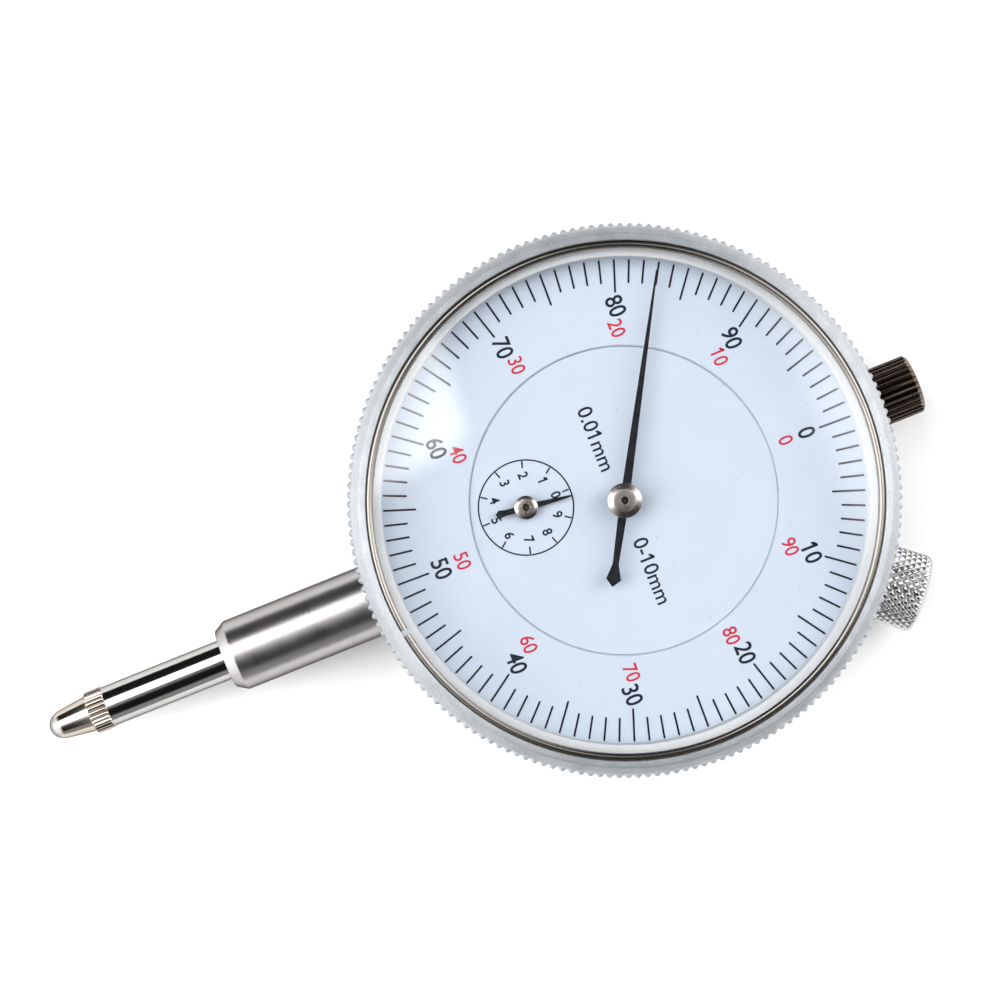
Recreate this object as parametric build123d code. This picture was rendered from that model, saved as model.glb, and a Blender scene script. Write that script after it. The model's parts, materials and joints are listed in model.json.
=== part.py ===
from build123d import *
import os
from math import cos, pi, radians, sin

os.makedirs("parts", exist_ok=True)

# A plunger dial indicator, lying on the flat back of its case. Millimetres.
# The dial axis is +Z, with z = 0 at the back. The stem points along -Y and the plunger's
# cap along +Y, so the figure 0 of the dial is near +Y. The plunger is fully out.

# ------------------------------------------------------------------ driving dimensions
TRAVEL = 10.4                   # plunger stroke, a little more than the 10 mm graduated
RACK_PITCH = 0.625              # 16 rack teeth are 10 mm, so the rack pinion turns once
PINION_TEETH = 16
CENTRE_TEETH = 10               # the centre pinion turns ten times in those 10 mm
GEAR_TEETH = 100
ARBOR_DISTANCE = 10.5           # centre arbor to rack arbor and to take-up arbor
FIT = 0.03                      # radial clearance of a bearing or a slide

CASE_R = 26.3                   # case body
CASE_WALL = 2.0
COVER_T = 1.5
REGISTER_TOP = 2.1              # the cover's register reaches this far into the case
FRONT_WALL_LOW = 14.3
CASE_TOP = 15.5

SPINDLE_Z = 7.4                 # height of the plunger's axis
SPINDLE_R = 2.25
SPINDLE_TOP_Y = 27.35
SPINDLE_BOTTOM_Y = -60.4
STEM_R = 4.0
STEM_END_Y = -46.6
STEM_SHOULDER_Y = -25.9
STEM_SEAT_R = 3.7
STEM_INNER_Y = -21.5
UPPER_BUSH_R = 3.0
SPINDLE_END_R = 1.3             # reduced upper end, inside the cap
SPINDLE_END_Y = 31.8
CAP_R = 3.3
CAP_TOP_Y = 34.75
CAP_FLUTES = 28
POINT_THREAD_R = 1.25
POINT_TIP_Y = -66.45
COLLAR_R = 2.4                  # knurled collar of the contact point
COLLAR_LOW_Y = -62.5
BALL_R = 1.5
BALL_Y = -65.8

BRIDGE_LOW, BRIDGE_HIGH = 10.0, 10.9        # movement bridge, over the spindle
COCK_LOW, COCK_HIGH = 3.9, 4.8              # cock that carries the rack pinion's foot

BUSH_R = 1.3                    # outside of every bearing bush
PIVOT_R = 0.4
RACK_ARBOR_R = 0.55
CENTRE_ARBOR_R = 0.6
TAKEUP_ARBOR_R = 0.5
BRIDGE_SCREW_R = 0.7
SMALL_SCREW_R = 0.5             # cock screws, guide bar screws and dial feet
COVER_SCREW_R = 1.0

DIAL_LOW, DIAL_HIGH = 15.5, 15.9            # fixed inner dial
DIAL_R = 16.45
RING_LOW, RING_HIGH = 15.8, 16.2            # outer dial ring, which turns with the bezel
RING_BORE_R = 16.65
RING_R = 26.3
MAIN_BLADE = (17.4, 17.55)      # heights of the two pointers' blades
SMALL_BLADE = (16.5, 16.62)
HUB_NECK_R = 1.0
SMALL_HUB_NECK_R = 0.75
HUB_CHAMFER_RISE = 0.45         # height of a hub's chamfer for its width

RETAINER_Z = 13.9               # wire that holds the bezel on the case
RETAINER_WIRE_R = 0.4
RETAINER_GROOVE_R = 0.45

BEZEL_LOW, BEZEL_TOP = 12.3, 21.0
BEZEL_SLIDE_R = CASE_R + 0.05
BEZEL_SIGHT_R = 25.9            # inner wall between the dial and the crystal
BEZEL_SEAT_Z = 19.2             # ledge under the crystal
CRYSTAL_EDGE_Z = 20.15          # upper edge of the crystal
BEZEL_OPENING_R = 27.47
BEZEL_RIM_R = 28.23             # outer edge of the flat top face
BEZEL_SKIRT_R = 28.4
KNURL_R = 29.6
KNURL_DEPTH = 0.37
KNURL_TEETH = 180
KNURL_LOW, KNURL_HIGH = 13.4, 18.2

CLAMP_ANGLE = 51.2              # bezel clamp, seen from the front, from +X
CLAMP_Z = 7.0
CLAMP_SCREW_R = 2.0
CLAMP_KNOB_R = 4.3
CLAMP_KNOB_LOW, CLAMP_KNOB_END = 29.65, 35.0

MAIN_POINTER_ANGLE = 150.2
SMALL_POINTER_ANGLE = 82.9
RACK_ARBOR_ANGLE = 252.25
TAKEUP_ARBOR_ANGLE = 130.0

RACK_ARBOR = (ARBOR_DISTANCE * cos(radians(RACK_ARBOR_ANGLE)),
              ARBOR_DISTANCE * sin(radians(RACK_ARBOR_ANGLE)))
TAKEUP_ARBOR = (ARBOR_DISTANCE * cos(radians(TAKEUP_ARBOR_ANGLE)),
                ARBOR_DISTANCE * sin(radians(TAKEUP_ARBOR_ANGLE)))
RACK_MODULE = RACK_PITCH / pi
RACK_TEETH = 22                 # the stroke's 17 and a few in mesh at either end
RACK_LOW_Y, RACK_HIGH_Y = -23.2, -7.2
FLANK_SLOPE = 0.36              # tan of the rack's pressure angle
GEAR_MODULE = 2 * ARBOR_DISTANCE / (GEAR_TEETH + CENTRE_TEETH)
RACK_PITCH_X = RACK_ARBOR[0] + RACK_MODULE * PINION_TEETH / 2

BRIDGE_PILLARS = [(12.5, -6.0), (8.5, 15.0), (-17.5, -4.5)]
COCK_PILLARS = [(-8.3, -13.5), (-8.3, -6.5)]
COVER_SCREWS = [(22.6 * cos(radians(a)), 22.6 * sin(radians(a))) for a in (35, 145, 215, 325)]
DIAL_FEET = [(-11.0, 6.0), (11.0, -6.0)]

PIN_Y = 6.0                     # guide pin across the spindle
PIN_R = 0.6
PIN_TIP_X = 7.9
GUIDE_X = (3.2, 4.8)            # slotted guide bar beside the spindle
GUIDE_Y = (3.5, 19.0)
GUIDE_LOW = 4.9
GUIDE_SCREWS_Y = (4.35, 18.1)
SPRING_X = 6.6                  # return spring beside the spindle
SPRING_R = 1.25
SPRING_WIRE_R = 0.17
SPRING_TURNS = 24
SPRING_POST_Y = -17.5
POST_NECK_R = 0.55
HOOK_R = 1.0

BOTTOM = (Align.CENTER, Align.CENTER, Align.MIN)
SPINDLE_LINE = Pos(0, 0, SPINDLE_Z) * Rot(-90, 0, 0)
CLAMP_LINE = Rot(0, 0, CLAMP_ANGLE) * Pos(0, 0, CLAMP_Z) * Rot(0, 90, 0)


# ------------------------------------------------------------------ helpers
def disc(radius, low, high, place=(0, 0)):
    """Upright cylinder between two heights."""
    return Pos(place[0], place[1], low) * Cylinder(radius, high - low, align=BOTTOM)


def turned(corners):
    """Solid of revolution about Z from (radius, height) corners."""
    face = make_face(Plane.XZ * Polyline(*corners, close=True))
    return revolve(face, axis=Axis.Z)


def torus(radius, wire_r, height=0.0):
    """Ring of round wire about Z."""
    return Pos(0, 0, height) * Torus(radius, wire_r)


def prism(corners, low, high):
    """Upright prism on a closed outline in the XY plane."""
    return Pos(0, 0, low) * extrude(make_face(Polyline(*corners, close=True)), amount=high - low)


def rounded_plate(circles, low, high):
    """Plate whose outline is stretched round circles given as (x, y, radius)."""
    edges = [Pos(x, y) * Edge.make_circle(r) for x, y, r in circles]
    return Pos(0, 0, low) * extrude(make_face(make_hull(edges)), amount=high - low)


def polar(radius, angle):
    """Point at a radius and an angle in degrees."""
    return (radius * cos(radians(angle)), radius * sin(radians(angle)))


def gear_outline(teeth, module, share, addendum, dedendum, tip_slope, root_slope, turn):
    """Outline of straight-sided teeth: root, flank and tip corners, one tooth centred on turn."""
    pitch_r = module * teeth / 2
    half = share * pi * module / 4
    tip_r = pitch_r + addendum * module
    root_r = pitch_r - dedendum * module
    tip_half = (half - tip_slope * addendum * module) / tip_r
    root_half = (half + root_slope * dedendum * module) / root_r
    steps = [(-root_half, root_r), (-half / pitch_r, pitch_r), (-tip_half, tip_r),
             (tip_half, tip_r), (half / pitch_r, pitch_r), (root_half, root_r)]
    centres = [radians(turn) + 2 * pi * k / teeth for k in range(teeth)]
    return [(r * cos(a + s), r * sin(a + s)) for a in centres for s, r in steps]


def screw(head_r, head_t, shank_r, length, slot=0.35):
    """Slotted cheese-head screw. The head's underside is z = 0 and the shank points up."""
    body = disc(head_r, -head_t, 0) + disc(shank_r, 0, length)
    groove = Pos(0, 0, -head_t) * Box(3 * head_r, slot, head_t)
    return body - groove


def bush(outer_r, bore_r, low, high, place):
    """Plain bearing bush with an oil sink at its far end."""
    sink = Pos(place[0], place[1], high - 0.25) * Cone(bore_r, bore_r + 0.3, 0.26, align=BOTTOM)
    return disc(outer_r, low, high, place) - disc(bore_r, low - 1, high + 1, place) - sink


def radial_teeth(solid, radius, depth, count, low, high):
    """Straight V grooves cut along Z round a solid about Z."""
    width = 0.45 * 2 * pi * radius / count
    notch = Polyline((radius - depth, 0), (radius + depth, 2 * width), (radius + depth, -2 * width),
                     close=True)
    cutter = Pos(0, 0, low) * extrude(make_face(notch), amount=high - low)
    return solid - [Rot(0, 0, 360 * k / count) * cutter for k in range(count)]


# ------------------------------------------------------------------ case and stem
def case_body():
    """Cup open at the back, with a front wall that carries the movement and the dial."""
    inner_r = CASE_R - CASE_WALL
    cup = turned([(inner_r, COVER_T), (CASE_R, COVER_T), (CASE_R, CASE_TOP - 0.3),
                  (CASE_R - 0.3, CASE_TOP), (0, CASE_TOP), (0, FRONT_WALL_LOW),
                  (inner_r, FRONT_WALL_LOW)])
    inside = disc(inner_r + 0.5, COVER_T, FRONT_WALL_LOW + 0.2)
    above_register = disc(inner_r + 0.5, REGISTER_TOP + 0.1, FRONT_WALL_LOW + 0.2)
    stem_boss = SPINDLE_LINE * disc(5.8, -CASE_R, STEM_INNER_Y)
    bush_boss = SPINDLE_LINE * disc(4.6, 21.2, CASE_R)
    screw_bosses = [disc(2.3, COVER_T, 7.0, place) for place in COVER_SCREWS]
    clamp_boss = CLAMP_LINE * disc(3.2, CASE_R - 1.5, 28.3)
    body = cup + (stem_boss & above_register) + (bush_boss & above_register)
    body = body + [boss & inside for boss in screw_bosses] + clamp_boss
    body = body - SPINDLE_LINE * disc(STEM_SEAT_R + 0.01, -CASE_R - 5, STEM_INNER_Y + 1)
    body = body - SPINDLE_LINE * disc(STEM_R + 0.8, -CASE_R - 5, STEM_SHOULDER_Y)
    body = body - SPINDLE_LINE * disc(UPPER_BUSH_R, 20, CASE_R + 5)
    body = body - CLAMP_LINE * disc(CLAMP_SCREW_R + FIT, inner_r - 3, CASE_R + 5)
    body = body - [disc(COVER_SCREW_R, COVER_T, 6.0, place) for place in COVER_SCREWS]
    body = body - [disc(BRIDGE_SCREW_R, FRONT_WALL_LOW, 15.1, place) for place in BRIDGE_PILLARS]
    body = body - [disc(BUSH_R, 14, 16, place) for place in ((0, 0), RACK_ARBOR, TAKEUP_ARBOR)]
    body = body - [disc(SMALL_SCREW_R, 14, 16, place) for place in DIAL_FEET]
    body = body - disc(0.9, FRONT_WALL_LOW, 15.1, (SPRING_X, SPRING_POST_Y))
    return body - torus(CASE_R, RETAINER_GROOVE_R, RETAINER_Z)


def back_cover():
    """Flat cover with a register that centres it in the case."""
    cover = turned([(0, 0), (25.9, 0), (CASE_R, 0.4), (CASE_R, COVER_T), (24.2, COVER_T),
                    (24.2, REGISTER_TOP), (20.2, REGISTER_TOP), (20.2, COVER_T), (0, COVER_T)])
    for x, y in COVER_SCREWS:
        cover = cover - disc(2.35, COVER_T, 3, (x, y)) - disc(COVER_SCREW_R, -1, 2, (x, y))
        cover = cover - Pos(x, y, 0) * Cone(2.0, COVER_SCREW_R, 1.0, align=BOTTOM)
    return cover


def back_cover_screws():
    """Four countersunk screws, flush with the back."""
    screws = []
    for x, y in COVER_SCREWS:
        body = Cone(1.9, COVER_SCREW_R, 0.9, align=BOTTOM) + disc(COVER_SCREW_R, 0.9, 5.5)
        screws.append(Pos(x, y, 0.1) * (body - Box(6, 0.5, 0.9)))
    return screws


def stem():
    """Clamping stem with a ground outside, a press seat in the case and the spindle's bore."""
    bore = SPINDLE_R + FIT
    return SPINDLE_LINE * turned([
        (bore, STEM_END_Y), (3.25, STEM_END_Y), (STEM_R, STEM_END_Y + 1.2),
        (STEM_R, STEM_SHOULDER_Y), (STEM_SEAT_R, STEM_SHOULDER_Y),
        (STEM_SEAT_R, STEM_INNER_Y), (bore, STEM_INNER_Y)])


def upper_bush():
    """Bush that guides the spindle's upper end."""
    bore = SPINDLE_R + FIT
    return SPINDLE_LINE * turned([(bore, 20.6), (UPPER_BUSH_R, 20.6), (UPPER_BUSH_R, 26.6),
                                  (UPPER_BUSH_R - 0.3, 26.9), (bore, 26.9)])


def bezel_retaining_wire():
    """Split wire ring, half in the case and half in the bezel, that holds the bezel on."""
    ring = Torus(CASE_R, RETAINER_WIRE_R, major_angle=350)
    return Pos(0, 0, RETAINER_Z) * Rot(0, 0, 95) * ring


# ------------------------------------------------------------------ plunger
def rack_gaps():
    """Everything that milling the rack takes off the spindle's -X side."""
    tip_x = RACK_PITCH_X - 0.9 * RACK_MODULE
    root_x = RACK_PITCH_X + 1.25 * RACK_MODULE
    half = 0.8 * RACK_PITCH / 4
    tip_half = half - FLANK_SLOPE * (RACK_PITCH_X - tip_x)
    root_half = half + FLANK_SLOPE * (root_x - RACK_PITCH_X)
    line = [(-4.0, RACK_HIGH_Y), (tip_x, RACK_HIGH_Y)]
    for k in range(RACK_TEETH):
        y = RACK_ARBOR[1] + (2 - k) * RACK_PITCH
        line += [(tip_x, y + tip_half), (tip_x, y - tip_half)]
        if k < RACK_TEETH - 1:
            line += [(root_x, y - root_half), (root_x, y - RACK_PITCH + root_half)]
    line += [(tip_x, RACK_LOW_Y), (-4.0, RACK_LOW_Y)]
    return prism(line, SPINDLE_Z - 3, SPINDLE_Z + 3)


def spindle():
    """Ground spindle with the rack, the guide pin's hole and threaded ends."""
    rod = SPINDLE_LINE * turned([
        (0, SPINDLE_BOTTOM_Y), (SPINDLE_R, SPINDLE_BOTTOM_Y), (SPINDLE_R, SPINDLE_TOP_Y),
        (SPINDLE_END_R, SPINDLE_TOP_Y), (SPINDLE_END_R, SPINDLE_END_Y), (0, SPINDLE_END_Y)])
    rod = rod - SPINDLE_LINE * disc(POINT_THREAD_R, SPINDLE_BOTTOM_Y - 1, -54.0)
    rod = rod - Pos(-1.2, PIN_Y, SPINDLE_Z) * Rot(0, 90, 0) * disc(PIN_R, 0, 5)
    return rod - rack_gaps()


def contact_point():
    """Screwed-in point: thread, knurled collar and a taper with a seat for the ball."""
    point = turned([
        (0, POINT_TIP_Y), (1.45, POINT_TIP_Y), (1.52, POINT_TIP_Y + 0.25), (2.03, COLLAR_LOW_Y),
        (COLLAR_R, COLLAR_LOW_Y + 0.15), (COLLAR_R, SPINDLE_BOTTOM_Y - 0.1),
        (COLLAR_R - 0.1, SPINDLE_BOTTOM_Y), (POINT_THREAD_R, SPINDLE_BOTTOM_Y),
        (POINT_THREAD_R, -54.6), (0, -54.6)])
    point = radial_teeth(point, COLLAR_R, 0.14, 26, COLLAR_LOW_Y, SPINDLE_BOTTOM_Y + 0.1)
    return SPINDLE_LINE * (point - Pos(0, 0, BALL_Y) * Sphere(BALL_R))


def contact_ball():
    """Measuring ball in the tip."""
    return SPINDLE_LINE * Pos(0, 0, BALL_Y) * Sphere(BALL_R)


def spindle_cap():
    """Fluted cap on the spindle's top end, used to lift the plunger by hand."""
    cap = turned([(0, SPINDLE_TOP_Y), (CAP_R - 0.3, SPINDLE_TOP_Y), (CAP_R, SPINDLE_TOP_Y + 0.3),
                  (CAP_R, CAP_TOP_Y - 0.45), (CAP_R - 0.4, CAP_TOP_Y - 0.05), (0, CAP_TOP_Y)])
    cap = radial_teeth(cap, CAP_R, 0.25, CAP_FLUTES, SPINDLE_TOP_Y - 0.1, CAP_TOP_Y + 0.25)
    return SPINDLE_LINE * (cap - disc(SPINDLE_END_R, SPINDLE_TOP_Y - 1, SPINDLE_END_Y))


def guide_pin():
    """Pin across the spindle: it runs in the guide bar's slot and carries the spring."""
    across = Pos(-1.2, PIN_Y, SPINDLE_Z) * Rot(0, 90, 0)
    return across * (disc(PIN_R, 0, PIN_TIP_X + 1.2) + disc(PIN_R + 0.3, PIN_TIP_X + 0.7, PIN_TIP_X + 1.2))


def return_spring():
    """Extension spring from the guide pin down to its post, a little stretched at rest."""
    slack = 0.03
    low_loop_y = SPRING_POST_Y + HOOK_R - SPRING_WIRE_R - POST_NECK_R - slack
    high_loop_y = PIN_Y - HOOK_R + SPRING_WIRE_R + PIN_R + slack
    low_y = low_loop_y + HOOK_R + 0.25
    high_y = high_loop_y - HOOK_R - 0.25
    coil = Helix((high_y - low_y) / SPRING_TURNS, high_y - low_y, SPRING_R,
                 center=(SPRING_X, low_y, SPINDLE_Z), direction=(0, 1, 0))
    low_plane = Plane(origin=(SPRING_X, low_loop_y, SPINDLE_Z))
    high_plane = Plane(origin=(SPRING_X, high_loop_y, SPINDLE_Z), x_dir=(0, -1, 0), z_dir=(-1, 0, 0))
    low_loop = low_plane * CenterArc((0, 0), HOOK_R, 150, 300)
    high_loop = high_plane * CenterArc((0, 0), HOOK_R, 0, 300)
    low_bend = Spline(low_loop @ 1, coil @ 0, tangents=[low_loop % 1, coil % 0])
    high_bend = Spline(coil @ 1, high_loop @ 0, tangents=[coil % 1, high_loop % 0])
    wire = Wire([low_loop, low_bend, coil, high_bend, high_loop])
    return sweep(Plane(origin=low_loop @ 0, z_dir=low_loop % 0) * Circle(SPRING_WIRE_R), path=wire)


# ------------------------------------------------------------------ movement frame
def movement_bridge():
    """Plate over the spindle that carries the inner ends of the arbors."""
    circles = [(x, y, 2.6) for x, y in BRIDGE_PILLARS] + [(x, y, 2.0) for x, y in COCK_PILLARS]
    circles += [(*RACK_ARBOR, 3.0), (*TAKEUP_ARBOR, 2.6), (4.0, GUIDE_SCREWS_Y[1], 2.0)]
    plate = rounded_plate(circles, BRIDGE_LOW, BRIDGE_HIGH)
    plate = plate - [disc(BRIDGE_SCREW_R, 9, 12, place) for place in BRIDGE_PILLARS]
    plate = plate - [disc(BUSH_R, 9, 12, place) for place in ((0, 0), RACK_ARBOR, TAKEUP_ARBOR)]
    plate = plate - [disc(SMALL_SCREW_R, 9, 12, (4.0, y)) for y in GUIDE_SCREWS_Y]
    plate = plate - disc(PIVOT_R, 9, 12, hairspring_stud_place())
    return plate - [disc(SMALL_SCREW_R, 9, BRIDGE_LOW + 0.6, place) for place in COCK_PILLARS]


def bridge_pillars():
    """Three pillars between the bridge and the case's front wall."""
    return [disc(1.6, BRIDGE_HIGH, FRONT_WALL_LOW, place)
            - disc(BRIDGE_SCREW_R, BRIDGE_HIGH - 1, FRONT_WALL_LOW + 1, place)
            for place in BRIDGE_PILLARS]


def bridge_screws():
    """Long screws through the bridge and its pillars into the case."""
    one = screw(1.5, 0.8, BRIDGE_SCREW_R, 15.0 - BRIDGE_LOW)
    return [Pos(x, y, BRIDGE_LOW) * one for x, y in BRIDGE_PILLARS]


def pinion_cock():
    """Small plate under the spindle that carries the rack pinion's foot."""
    circles = [(x, y, 2.0) for x, y in COCK_PILLARS] + [(*RACK_ARBOR, 2.0)]
    plate = rounded_plate(circles, COCK_LOW, COCK_HIGH)
    plate = plate - disc(BUSH_R, 3, 6, RACK_ARBOR)
    return plate - [disc(SMALL_SCREW_R, 3, 6, place) for place in COCK_PILLARS]


def cock_pillars():
    """Two pillars between the cock and the bridge."""
    return [disc(1.3, COCK_HIGH, BRIDGE_LOW, place) - disc(SMALL_SCREW_R, 4, 11, place)
            for place in COCK_PILLARS]


def cock_screws():
    """Screws through the cock and its pillars into the bridge."""
    one = screw(1.1, 0.7, SMALL_SCREW_R, BRIDGE_LOW + 0.5 - COCK_LOW)
    return [Pos(x, y, COCK_LOW) * one for x, y in COCK_PILLARS]


def front_bushes():
    """Bearings pressed into the case's front wall."""
    bores = [((0, 0), CENTRE_ARBOR_R), (RACK_ARBOR, RACK_ARBOR_R), (TAKEUP_ARBOR, PIVOT_R)]
    return [bush(BUSH_R, r + FIT, FRONT_WALL_LOW, CASE_TOP, place) for place, r in bores]


def bridge_bushes():
    """Bearings pressed into the bridge."""
    bores = [((0, 0), PIVOT_R), (RACK_ARBOR, RACK_ARBOR_R), (TAKEUP_ARBOR, PIVOT_R)]
    return [bush(BUSH_R, r + FIT, BRIDGE_LOW, BRIDGE_HIGH, place) for place, r in bores]


def cock_bush():
    """Bearing pressed into the cock."""
    return bush(BUSH_R, PIVOT_R + FIT, COCK_LOW, COCK_HIGH, RACK_ARBOR)


def guide_bar():
    """Bar under the bridge whose slot keeps the spindle from turning."""
    width = GUIDE_X[1] - GUIDE_X[0]
    length = GUIDE_Y[1] - GUIDE_Y[0]
    middle = ((GUIDE_X[0] + GUIDE_X[1]) / 2, (GUIDE_Y[0] + GUIDE_Y[1]) / 2)
    bar = Pos(middle[0], middle[1], GUIDE_LOW) * Box(width, length, BRIDGE_LOW - GUIDE_LOW, align=BOTTOM)
    slot_low = PIN_Y - PIN_R - 0.05
    slot_high = PIN_Y + TRAVEL + PIN_R + 0.05
    slot = Box(4, slot_high - slot_low, 2 * (PIN_R + 0.05))
    bar = bar - Pos(middle[0], (slot_low + slot_high) / 2, SPINDLE_Z) * slot
    return bar - [disc(SMALL_SCREW_R, 8.4, 11, (4.0, y)) for y in GUIDE_SCREWS_Y]


def guide_bar_screws():
    """Two screws down through the bridge into the guide bar."""
    one = Rot(180, 0, 0) * screw(0.9, 0.5, SMALL_SCREW_R, 2.4, slot=0.25)
    return [Pos(4.0, y, BRIDGE_HIGH) * one for y in GUIDE_SCREWS_Y]


def spring_post():
    """Post on the front wall that holds the fixed end of the return spring."""
    neck = (SPINDLE_Z - 0.3, SPINDLE_Z + 0.3)
    post = disc(0.9, 6.2, neck[0]) + disc(POST_NECK_R, *neck) + disc(0.9, neck[1], 15.0)
    return Pos(SPRING_X, SPRING_POST_Y, 0) * post


# ------------------------------------------------------------------ gear train
CENTRE_TURN = RACK_ARBOR_ANGLE + 180 / CENTRE_TEETH     # a gap faces the rack arbor's gear


def large_gear(place, low, high, turn, hub_low, hub_high, bore_r):
    """Crossed-out 100-tooth gear with a hub on its arbor."""
    outline = gear_outline(GEAR_TEETH, GEAR_MODULE, 0.8, 0.8, 1.25, 0.4, 0.3, turn)
    gear = prism(outline, low, high)
    window = disc(7.9, low - 1, high + 1) - disc(2.6, low - 2, high + 2)
    spokes = [Rot(0, 0, turn + 90 * k) * Pos(0, 0, low - 2) * Box(20, 1.3, high - low + 4, align=BOTTOM)
              for k in range(2)]
    gear = gear - (window - spokes) + disc(1.2, hub_low, hub_high)
    return Pos(place[0], place[1], 0) * (gear - disc(bore_r, low - 5, high + 5))


def rack_pinion():
    """Rack arbor with the pinion cut on it, a gap facing the rack."""
    outline = gear_outline(PINION_TEETH, RACK_MODULE, 0.8, 0.9, 1.25, 0.4, 0.0, 180 / PINION_TEETH)
    shoulder = COCK_HIGH + 0.05
    arbor = turned([(0, 4.0), (PIVOT_R, 4.0), (PIVOT_R, shoulder), (RACK_ARBOR_R, shoulder),
                    (RACK_ARBOR_R, 16.1), (PIVOT_R, 16.1), (PIVOT_R, 16.6), (0.2, 16.7), (0, 16.7)])
    return Pos(*RACK_ARBOR, 0) * (arbor + prism(outline, 6.3, 8.5))


def intermediate_gear():
    """Gear on the rack arbor that drives the centre pinion, a tooth on the line of centres."""
    return large_gear(RACK_ARBOR, 11.5, 12.1, RACK_ARBOR_ANGLE + 180, 11.1, 12.6, RACK_ARBOR_R)


def centre_pinion():
    """Centre arbor with the pinion cut on it; its top carries the main pointer."""
    outline = gear_outline(CENTRE_TEETH, GEAR_MODULE, 0.8, 0.8, 1.25, 0.45, -0.3, CENTRE_TURN)
    shoulder = BRIDGE_HIGH + 0.05
    arbor = turned([(0, 10.1), (PIVOT_R, 10.1), (PIVOT_R, shoulder), (CENTRE_ARBOR_R, shoulder),
                    (CENTRE_ARBOR_R, 16.9), (PIVOT_R, 16.9), (PIVOT_R, 17.85), (0.2, 18.0), (0, 18.0)])
    return arbor + prism(outline, 11.3, 13.4)


def takeup_arbor():
    """Arbor of the take-up gear."""
    low, high = BRIDGE_HIGH + 0.05, FRONT_WALL_LOW - 0.05
    arbor = turned([(0, 10.1), (PIVOT_R, 10.1), (PIVOT_R, low), (TAKEUP_ARBOR_R, low),
                    (TAKEUP_ARBOR_R, high), (PIVOT_R, high), (PIVOT_R, 15.2), (0, 15.2)])
    return Pos(*TAKEUP_ARBOR, 0) * arbor


def takeup_gear():
    """Gear that loads the train against backlash, meshed with the centre pinion."""
    off_line = CENTRE_TURN - TAKEUP_ARBOR_ANGLE - 180 / CENTRE_TEETH
    turn = TAKEUP_ARBOR_ANGLE + 180 - off_line * CENTRE_TEETH / GEAR_TEETH
    return large_gear(TAKEUP_ARBOR, 12.6, 13.1, turn, 12.6, 13.8, TAKEUP_ARBOR_R)


HAIR_TURNS = 5.0
HAIR_INNER_R, HAIR_OUTER_R = 0.9, 3.3
HAIR_START = 20.0               # angle of the inner end


def hairspring_collet():
    """Collet that holds the hairspring's inner end."""
    return disc(HAIR_INNER_R, 11.3, 12.2, TAKEUP_ARBOR) - disc(TAKEUP_ARBOR_R, 11, 13, TAKEUP_ARBOR)


def hairspring_stud_place():
    """Centre of the stud at the hairspring's outer end."""
    x, y = polar(HAIR_OUTER_R + 0.4, HAIR_START + 360 * HAIR_TURNS)
    return (TAKEUP_ARBOR[0] + x, TAKEUP_ARBOR[1] + y)


def hairspring():
    """Flat spiral from the collet out to the stud."""
    steps = round(12 * HAIR_TURNS)
    sides = []
    for offset in (0.0, 0.06):
        side = []
        for k in range(steps + 1):
            share = k / steps
            radius = HAIR_INNER_R + offset + share * (HAIR_OUTER_R - HAIR_INNER_R)
            side.append(polar(radius, HAIR_START + 360 * HAIR_TURNS * share))
        sides.append(side)
    inner, outer = Spline(*sides[0]), Spline(*sides[1])
    ends = [Line(inner @ 0, outer @ 0), Line(inner @ 1, outer @ 1)]
    strip = make_face([inner, outer] + ends)
    return Pos(*TAKEUP_ARBOR, 11.55) * extrude(strip, amount=0.4)


def hairspring_stud():
    """Stud on the bridge that holds the hairspring's outer end."""
    return disc(PIVOT_R, BRIDGE_LOW, 12.1, hairspring_stud_place())


# ------------------------------------------------------------------ dial and pointers
def inner_dial():
    """Fixed dial with the revolution counter, riveted by two feet to the front wall."""
    plate = disc(DIAL_R, DIAL_LOW, DIAL_HIGH)
    plate = plate + [disc(SMALL_SCREW_R, FRONT_WALL_LOW, DIAL_LOW, place) for place in DIAL_FEET]
    return plate - disc(1.0, 14, 17) - disc(0.9, 14, 17, RACK_ARBOR)


def outer_dial_ring():
    """Graduated ring fixed in the bezel."""
    return turned([(RING_BORE_R, RING_LOW), (RING_R, RING_LOW), (RING_R, RING_HIGH),
                   (RING_BORE_R, RING_HIGH)])


def main_pointer():
    """Long needle with a diamond tail, on the centre arbor."""
    half_outline = [(24.8, 0.04), (24.7, 0.085), (12.4, 0.31), (1.2, 0.48), (-1.2, 0.48),
                    (-6.8, 0.33), (-8.48, 0.8), (-9.3, 0.0)]
    below = [(x, -y) for x, y in reversed(half_outline) if y]
    blade = prism(half_outline + below, *MAIN_BLADE) + disc(1.6, *MAIN_BLADE)
    return Rot(0, 0, MAIN_POINTER_ANGLE) * (blade - disc(HUB_NECK_R, 17, 18))


def pointer_hub(flange_r, neck_r, foot, seat, top, chamfer):
    """Turned hub riveted through a pointer, pressed on its arbor, with a shallow chamfer."""
    return turned([(PIVOT_R, foot), (neck_r, foot), (neck_r, seat), (flange_r, seat),
                   (flange_r, top - HUB_CHAMFER_RISE * chamfer), (flange_r - chamfer, top),
                   (PIVOT_R, top)])


def main_pointer_hub():
    """Hub of the main pointer."""
    return pointer_hub(1.87, HUB_NECK_R, 16.95, MAIN_BLADE[1], 18.55, 0.64)


def small_pointer():
    """Short needle with a flared tail, on the rack arbor."""
    half_outline = [(5.0, 0.09), (3.6, 0.19), (1.0, 0.33), (-2.3, 0.31), (-2.9, 0.43), (-3.3, 0.12)]
    below = [(x, -y) for x, y in reversed(half_outline)]
    blade = prism(half_outline + below, *SMALL_BLADE) + disc(1.1, *SMALL_BLADE)
    place = Pos(*RACK_ARBOR, 0) * Rot(0, 0, SMALL_POINTER_ANGLE)
    return place * (blade - disc(SMALL_HUB_NECK_R, 16, 17))


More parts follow.
